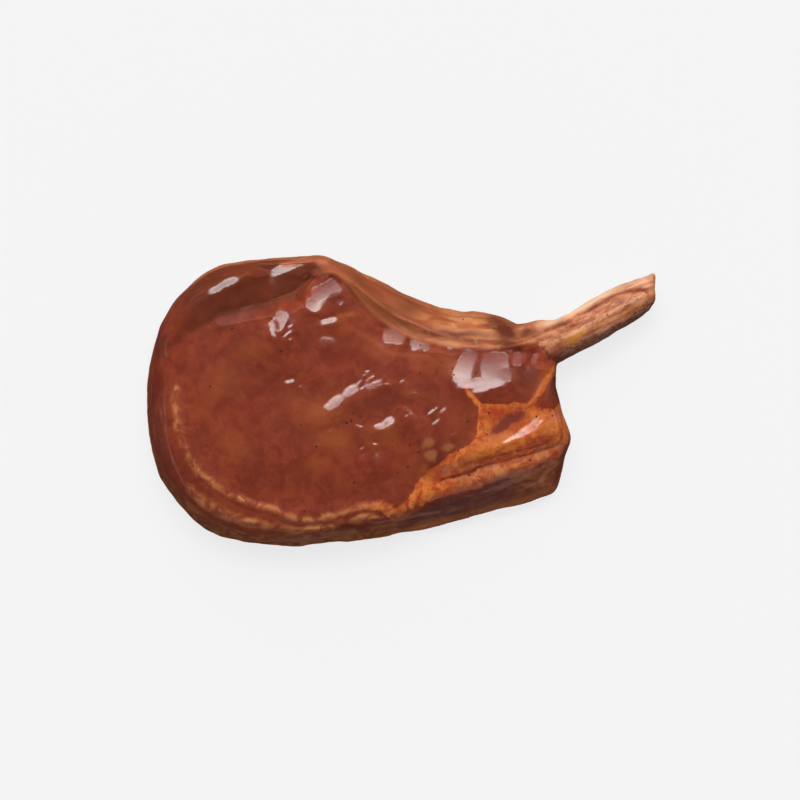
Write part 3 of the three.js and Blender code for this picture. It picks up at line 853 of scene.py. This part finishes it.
def draw_in_root(p):
    """The membrane is drawn in where the rib leaves the loin."""
    p[:, 1] -= ROOT_PULL * bell(p[:, 0] - ROOT_X, 5) * ease(p[:, 1], 22, 30)


def pinch_tip(p):
    """The membrane is drawn out to a point at the far corner of the sawn end."""
    p += bell(np.linalg.norm((p - TIP_CORNER) * (1, 1, 0.6), axis=1), 1.5)[:, None] * TIP_PULL


# Spice

def flake(bm, place, normal, size, draw):
    """One thin uneven flake, lying on the meat."""
    turn = normal.to_track_quat("Z", "Y").to_matrix().to_4x4()
    turn @= Matrix.Rotation(draw.uniform(0, 6.28), 4, "Z")
    shape = Matrix.Diagonal((size, size * draw.uniform(0.45, 0.9), size * draw.uniform(0.25, 0.45), 1))
    for v in bmesh.ops.create_icosphere(bm, subdivisions=1, radius=1)["verts"]:
        v.co *= draw.uniform(0.72, 1.2)
        v.co = Matrix.Translation(place) @ turn @ shape @ v.co


def spice_flakes(surface):
    tree = BVHTree.FromObject(surface, bpy.context.evaluated_depsgraph_get())
    draw = np.random.default_rng(12)
    spots = [(x, y, draw.uniform(0.38, 0.6)) for x, y in SEEN_FLAKES]
    for _ in range(MORE_FLAKES):
        size = FLAKE_SIZE[0] + (FLAKE_SIZE[1] - FLAKE_SIZE[0]) * draw.random() ** 2.2
        spots.append((draw.uniform(-86, 58), draw.uniform(-50, 48), size))
    bm = bmesh.new()
    for x, y, size in spots:
        place, normal, _, _ = tree.ray_cast(Vector((x, y, 60)) * MM, Vector((0, 0, -1)))
        if place is not None and normal.z > 0.25:
            flake(bm, place + normal * 0.02 * MM, normal, size * MM, draw)
    mesh = made("spice_flakes", bm)
    mesh.materials.append(spice_material())
    piece = placed("spice_flakes", mesh)
    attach(piece, "root")


# Materials

def rgb(red, green, blue):
    """A colour as a screen shows it, turned into what the shader adds up."""
    shares = [value / 255 for value in (red, green, blue)]
    return (*[s / 12.92 if s <= 0.04045 else ((s + 0.055) / 1.055) ** 2.4 for s in shares], 1)


class Nodes:
    """A tree of shader nodes, made one after another. Tones are given as a screen shows them."""

    def __init__(self, tree):
        self.tree = tree

    def fill(self, node, inputs):
        """Puts values or links in a node's inputs."""
        for key, value in inputs.items():
            if isinstance(value, bpy.types.NodeSocket):
                self.tree.links.new(value, node.inputs[key])
            else:
                node.inputs[key].default_value = value

    def node(self, kind, inputs=None, **settings):
        node = self.tree.nodes.new("ShaderNode" + kind)
        for key, value in settings.items():
            setattr(node, key, value)
        self.fill(node, inputs or {})
        return node

    def maths(self, operation, a, b=0):
        return self.node("Math", {0: a, 1: b}, operation=operation).outputs[0]

    def times(self, a, b):
        return self.maths("MULTIPLY", a, b)

    def plus(self, a, b):
        return self.maths("ADD", a, b)

    def ramp(self, value, low, high, start=0, end=1):
        """start below low, end above high, smooth between."""
        limits = {"From Min": low, "From Max": high, "To Min": start, "To Max": end}
        node = self.node("MapRange", {"Value": value, **limits}, interpolation_type="SMOOTHSTEP")
        return node.outputs["Result"]

    def colours(self, value, *colours):
        """A blend through several colours as value goes from 0 to 1."""
        node = self.node("ValToRGB", {"Fac": value})
        elements = node.color_ramp.elements
        for k in range(1, len(colours) - 1):
            elements.new(k / (len(colours) - 1))
        for element, colour in zip(elements, colours):
            element.color = colour
        return node.outputs["Color"]


class Paint(Nodes):
    """A material's nodes."""

    def __init__(self, name):
        self.material = bpy.data.materials.new(name)
        self.material.use_nodes = True
        super().__init__(self.material.node_tree)
        self.shader = self.tree.nodes["Principled BSDF"]
        self.place = self.node("TexCoord").outputs["Object"]

    def set(self, values):
        self.fill(self.shader, values)

    def attribute(self, name):
        return self.node("Attribute", attribute_name=name).outputs["Fac"]

    def grain(self, *directions):
        """A vector for noise from attributes: each one's name, and how many cells it has to one unit."""
        parts = [self.times(self.attribute(name), cells) for name, cells in directions]
        return self.node("CombineXYZ", dict(enumerate(parts))).outputs[0]

    def noise(self, size, detail=3, vector=None, warp=0):
        """Noise from 0 to 1. Its cells have this size, in millimetres or in units of its own vector."""
        place = {"Vector": vector or self.place, "Scale": 1 / size if vector else 1 / (size * MM)}
        look = {"Detail": detail, "Roughness": 0.55, "Distortion": warp}
        return self.node("TexNoise", {**place, **look}).outputs["Fac"]

    def bump(self, height, depth, normal=None):
        below = {"Normal": normal} if normal else {}
        return self.node("Bump", {"Distance": depth * MM, "Height": height, **below}).outputs["Normal"]

    def mix(self, share, a, b):
        return self.node("Mix", {"Factor": share, "A": a, "B": b}, data_type="RGBA").outputs["Result"]

    def tinted(self, colour, *layers):
        """Lays tones over a colour. Each layer is an attribute or a mask, its strength, and its tone."""
        for mask, share, tone in layers:
            mask = self.attribute(mask) if isinstance(mask, str) else mask
            tone = rgb(*tone) if isinstance(tone, tuple) else tone
            colour = self.mix(self.times(mask, share), colour, tone)
        return colour

    def tones(self, value, low, high, *tones):
        return self.colours(self.ramp(value, low, high), *[rgb(*tone) for tone in tones])

    def blend(self, a, share, b):
        return self.plus(self.times(a, 1 - share), self.times(b, share))


def rib_colour(paint):
    """Thin orange-brown marinade over the rib's membrane, mottled and drawn out along it."""
    drawn_out = paint.grain(("rib_along", 0.16), ("rib_angle", 2.4))
    fine = paint.noise(0.35, 3, drawn_out, 0.8)
    specks = paint.noise(1.3, 3)
    tone = paint.blend(paint.noise(1, 3, drawn_out, 0.6), 0.3, fine)
    body = paint.tones(tone, 0.36, 0.64, (160, 86, 58), (194, 118, 80), (216, 146, 104))
    far = paint.ramp(paint.attribute("rib_along"), 30, 44, 0.25, 0.7)
    low = paint.tinted(
        paint.tones(fine, 0.32, 0.68, (112, 62, 50), (138, 86, 68), (160, 106, 78)),
        (paint.ramp(specks, 0.58, 0.68), far, (176, 128, 52)),
        (paint.ramp(specks, 0.42, 0.34), far, (72, 40, 30)),
    )
    # Painted highlight along the handle's ridge, broken up by noise.
    pale = paint.times(paint.attribute("rib_ridge_highlight"), paint.ramp(fine, 0.3, 0.56))
    return paint.tinted(
        body,
        ("rib_low", 1, low),
        ("yellow", 0.9, (220, 142, 52)),
        # painted shade in the handle's groove and along its foot
        ("rib_groove", 0.4, (140, 70, 48)),
        ("rib_foot", 0.5, (104, 60, 42)),
        # upper edge facing the lights: pale membrane, and painted light
        ("lit_pale_rib_edge", 0.9, (248, 202, 166)),
        # deep marks: darker marinade, and painted shade in slits and notches
        ("deep", 0.85, (100, 42, 32)),
        (pale, 0.7, (240, 178, 134)),
    )


def shade_hollows(paint, colour):
    """Painted shade darkens the hollows, and painted light makes the ridges paler."""
    hollow = paint.attribute("hollow")
    return paint.tinted(
        colour,
        # painted shade where the skin lies below its surroundings
        (paint.ramp(hollow, 0.03, 0.35), 0.5, (76, 26, 16)),
        # painted light where the skin stands above its surroundings
        (paint.ramp(hollow, -0.04, -0.35), 0.18, (210, 118, 62)),
    )


def wet(paint, roughness, coat):
    paint.set({
        "Roughness": roughness,
        "Coat Weight": coat,
        "Coat Roughness": 0.06,
        "Coat IOR": 1.5,
        "Specular IOR Level": 0.06,
        "Subsurface Weight": 0.1,
        "Subsurface Radius": (1, 0.35, 0.2),
        "Subsurface Scale": 1.2 * MM,
    })


def lean_colour(paint, broad, middle, fine):
    tone = paint.blend(paint.blend(broad, 0.45, middle), 0.06, fine)
    threads = paint.ramp(paint.noise(2.2, 2, warp=1.4), 0.6, 0.7)
    return paint.tinted(
        paint.tones(tone, 0.32, 0.68, (118, 46, 31), (135, 56, 36), (152, 69, 41)),
        ("warm", 0.8, (166, 87, 44)),
        ("red", 0.6, (144, 50, 32)),
        ("olive", 0.65, (176, 112, 68)),
        (threads, 0.1, (186, 104, 62)),
    )


def crumbs(paint):
    """A layer of small dark crumbs of marinade."""
    return paint.ramp(paint.noise(1, 1, warp=0.5), 0.63, 0.7), 0.5, (126, 48, 30)


def fat_colour(paint, middle, fine):
    tone = paint.blend(middle, 0.15, fine)
    clots = paint.ramp(paint.noise(3, 2, warp=1.2), 0.54, 0.68)
    pale = paint.ramp(paint.noise(3.4, 4, warp=1.5), 0.56, 0.7)
    return paint.tinted(
        paint.tones(tone, 0.34, 0.66, (174, 69, 37), (203, 98, 46), (228, 127, 58)),
        ("yellow", 0.35, (224, 138, 62)),
        ("red", 0.8, (178, 60, 38)),
        (clots, 0.5, (170, 58, 36)),
        (pale, 0.4, (226, 130, 84)),
        ("pink", 0.6, (222, 138, 106)),
        crumbs(paint),
    )


def fold_colour(paint, middle, fine):
    tone = paint.blend(middle, 0.2, fine)
    fold = paint.tones(tone, 0.32, 0.68, (174, 79, 46), (200, 106, 61), (222, 143, 90))
    return paint.tinted(fold, crumbs(paint))


def band_colour(paint):
    """Streaks along the rib, with pale spots, and darker towards the shelf."""
    streaks = paint.noise(1, 1.5, paint.grain(("band_along", 0.09), ("band_across", 0.32)), 0.5)
    spots = paint.ramp(paint.noise(3.6, 1, warp=0.6), 0.55, 0.72)
    dark_end = paint.ramp(paint.attribute("band_along"), 62, 104, 1, 0)
    return paint.tinted(
        paint.tones(streaks, 0.36, 0.64, (160, 84, 54), (188, 110, 68), (206, 136, 90)),
        (spots, 0.5, (214, 160, 96)),
        (dark_end, 0.9, (150, 77, 46)),
    )


def wall_colour(paint):
    """Dark plum under the fold, and olive brown below."""
    cloud = paint.noise(5, 4, warp=1)
    below = paint.tones(cloud, 0.35, 0.65, (132, 69, 50), (160, 89, 57), (184, 116, 70))
    plum = paint.tones(cloud, 0.4, 0.65, (108, 60, 54), (132, 77, 64))
    return paint.tinted(below, ("plum", 1, plum))


def loin_colour(paint, broad, middle, fine):
    frayed = paint.times(paint.plus(fine, -0.5), 0.6)
    fat = paint.ramp(paint.plus(paint.attribute("fat"), frayed), 0.2, 0.8)
    rim = paint.tones(middle, 0.36, 0.62, (150, 72, 48), (190, 110, 66), (208, 136, 84))
    shelf = paint.tones(broad, 0.35, 0.65, (98, 44, 26), (116, 54, 31))
    low = paint.tones(paint.blend(broad, 0.4, fine), 0.3, 0.7, (150, 78, 48), (190, 116, 70))
    return paint.tinted(
        lean_colour(paint, broad, middle, fine),
        (fat, 1, fat_colour(paint, middle, fine)),
        ("yellow", 0.34, (214, 130, 52)),
        ("rims", 0.9, rim),
        ("patch", 0.85, (130, 60, 46)),
        ("fold", 0.85, fold_colour(paint, middle, fine)),
        ("shelf", 0.85, shelf),
        ("band", 0.92, band_colour(paint)),
        ("wall", 0.85, wall_colour(paint)),
        # painted reflection: pale streaks on the near wall
        ("painted_reflection", 0.55, (168, 118, 106)),
        ("low", 0.75, low),
        ("side_line", 0.5, (112, 56, 32)),
        # deep marks: darker marinade, and painted shade in slits and notches
        ("deep", 0.85, (92, 38, 26)),
        ("moss", 1, (98, 46, 30)),
        ("stripe", 0.85, (126, 60, 54)),
        # painted shade on the steep strip just inside the crest
        ("crest_strip_shade", 0.4, (110, 48, 32)),
        # pale crest lines: partly the membrane's edge, partly painted highlight
        ("crest", 0.5, (210, 132, 98)),
        # painted shade in the crease above the lower fold
        ("crease", 0.7, (92, 34, 22)),
        ("on_rib", 1, rib_colour(paint)),
    )


def loin_material():
    paint = Paint("marinated_loin")
    broad = paint.noise(14, 3, warp=0.6)
    middle = paint.noise(4.5, 2.5, warp=0.8)
    fine = paint.noise(1.1)
    dry = 0
    for mask, share in (("band", 0.8), ("steep", 0.9), ("crest", 0.6), ("dull", 0.95), ("on_rib", 0.75)):
        dry = paint.maths("MAXIMUM", dry, paint.times(paint.attribute(mask), share))
    wet(paint, paint.plus(paint.times(middle, 0.25), 0.38), paint.maths("SUBTRACT", 1, dry))
    soft = paint.bump(paint.noise(3.2, 2, warp=0.5), 0.045)
    soft = paint.bump(paint.noise(1.3, 2), 0.02, soft)
    paint.set({
        "Base Color": shade_hollows(paint, loin_colour(paint, broad, middle, fine)),
        "Coat Normal": soft,
        "Normal": paint.bump(fine, 0.07, soft),
    })
    return paint.material


def rib_material():
    paint = Paint("marinated_rib")
    fine = paint.noise(1.1)
    wet(paint, paint.plus(paint.times(fine, 0.25), 0.38), 0.22)
    strands = paint.noise(1, 3, paint.grain(("rib_along", 0.16), ("rib_angle", 3)), 0.8)
    normal = paint.bump(strands, 0.25)
    paint.set({
        "Base Color": shade_hollows(paint, rib_colour(paint)),
        "Coat Normal": normal,
        "Normal": paint.bump(fine, 0.1, normal),
    })
    return paint.material


def spice_material():
    paint = Paint("spice")
    paint.set({
        "Base Color": paint.colours(paint.noise(0.8, 2), rgb(30, 14, 10), rgb(52, 26, 16), rgb(74, 38, 20)),
        "Roughness": 0.5,
        "Specular IOR Level": 0.2,
        "Normal": paint.bump(paint.noise(0.25), 0.05),
    })
    return paint.material


# The stage

def floor():
    """Pale to the camera, but it throws little light back on the steak's sides."""
    bpy.ops.mesh.primitive_circle_add(vertices=96, radius=4, fill_type="NGON", location=(0, 0, 0))
    disc = bpy.context.object
    disc.name = "floor"
    paint = Paint("pale_floor")
    seen = paint.node("LightPath").outputs["Is Camera Ray"]
    paint.set({
        "Base Color": (0.13, 0.13, 0.132, 1),
        "Roughness": 0.9,
        "Specular IOR Level": 0,
        "Emission Color": (1, 1, 1, 1),
        "Emission Strength": paint.times(seen, 0.79),
    })
    disc.data.materials.append(paint.material)


def low_light():
    """An evenly glowing rectangle behind the rib side, just above the floor."""
    width, height = LOW_LIGHT_SIZE
    light = bpy.data.lights.new("low", "AREA")
    light.shape = "RECTANGLE"
    light.size = width
    light.size_y = height
    light.energy = LOW_LIGHT_RADIANCE * math.pi * width * height
    lean = math.radians(LOW_LIGHT_LEAN)
    place = Vector((0, math.sin(lean), math.cos(lean))) * LOW_LIGHT_DISTANCE
    lamp = placed("low", light)
    lamp.location = place
    lamp.rotation_euler = (-place).to_track_quat("-Z", "Y").to_euler()


def sky():
    """A soft window behind the rib side, darkness straight above, and a glow round the horizon."""
    world = bpy.data.worlds.new("studio")
    bpy.context.scene.world = world
    world.use_nodes = True
    nodes = Nodes(world.node_tree)
    x, y, z = nodes.node("SeparateXYZ", {0: nodes.node("TexCoord").outputs["Generated"]}).outputs
    most = max(KEY_GLOW)
    lean = nodes.maths("DIVIDE", nodes.maths("ARCTAN2", y, z), math.pi / 2)
    key = nodes.colours(lean, *[(glow / most, glow / most, glow / most, 1) for glow in KEY_GLOW])
    window = nodes.ramp(nodes.maths("ABSOLUTE", x), 0.3, 0.6, most, 0)
    ring = nodes.ramp(z, 0.1, 0.35, 0.6, 0.03)
    near_side = nodes.plus(nodes.ramp(y, -0.9, -0.1, 2, 0), 1)
    strength = nodes.plus(nodes.times(key, window), nodes.times(ring, near_side))
    lit = nodes.node("Background", {"Color": (1, 1, 1, 1), "Strength": strength}).outputs[0]
    seen = nodes.node("Background", {"Color": (0.86, 0.86, 0.87, 1)}).outputs[0]
    by_camera = nodes.node("LightPath").outputs["Is Camera Ray"]
    choose = nodes.node("MixShader", {0: by_camera, 1: lit, 2: seen})
    nodes.fill(nodes.tree.nodes["World Output"], {"Surface": choose.outputs[0]})


def camera():
    data = bpy.data.cameras.new("camera")
    data.lens = LENS
    data.sensor_width = SENSOR
    view = placed("camera", data)
    view.location = (0, 0, (PHOTO_WIDTH * LENS / SENSOR + OUTLINE_HEIGHT) * MM)
    bpy.context.scene.camera = view


def build_steak():
    rib = rib_skin()
    sculpt_rib(rib)
    loin, foot = loin_skin()
    sculpt_loin(loin, foot, rib)

    dressed_loin = loin.store("loin_meat_dressed", loin_masks(loin), loin_material())
    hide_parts("loin_meat")

    dressed_rib = rib.store("rib_bone_dressed", rib_masks(rib), rib_material())
    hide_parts("rib_bone")

    spice_flakes(dressed_loin)


build_steak()
floor()
low_light()
sky()
camera()
bpy.context.scene.view_settings.view_transform = "Standard"
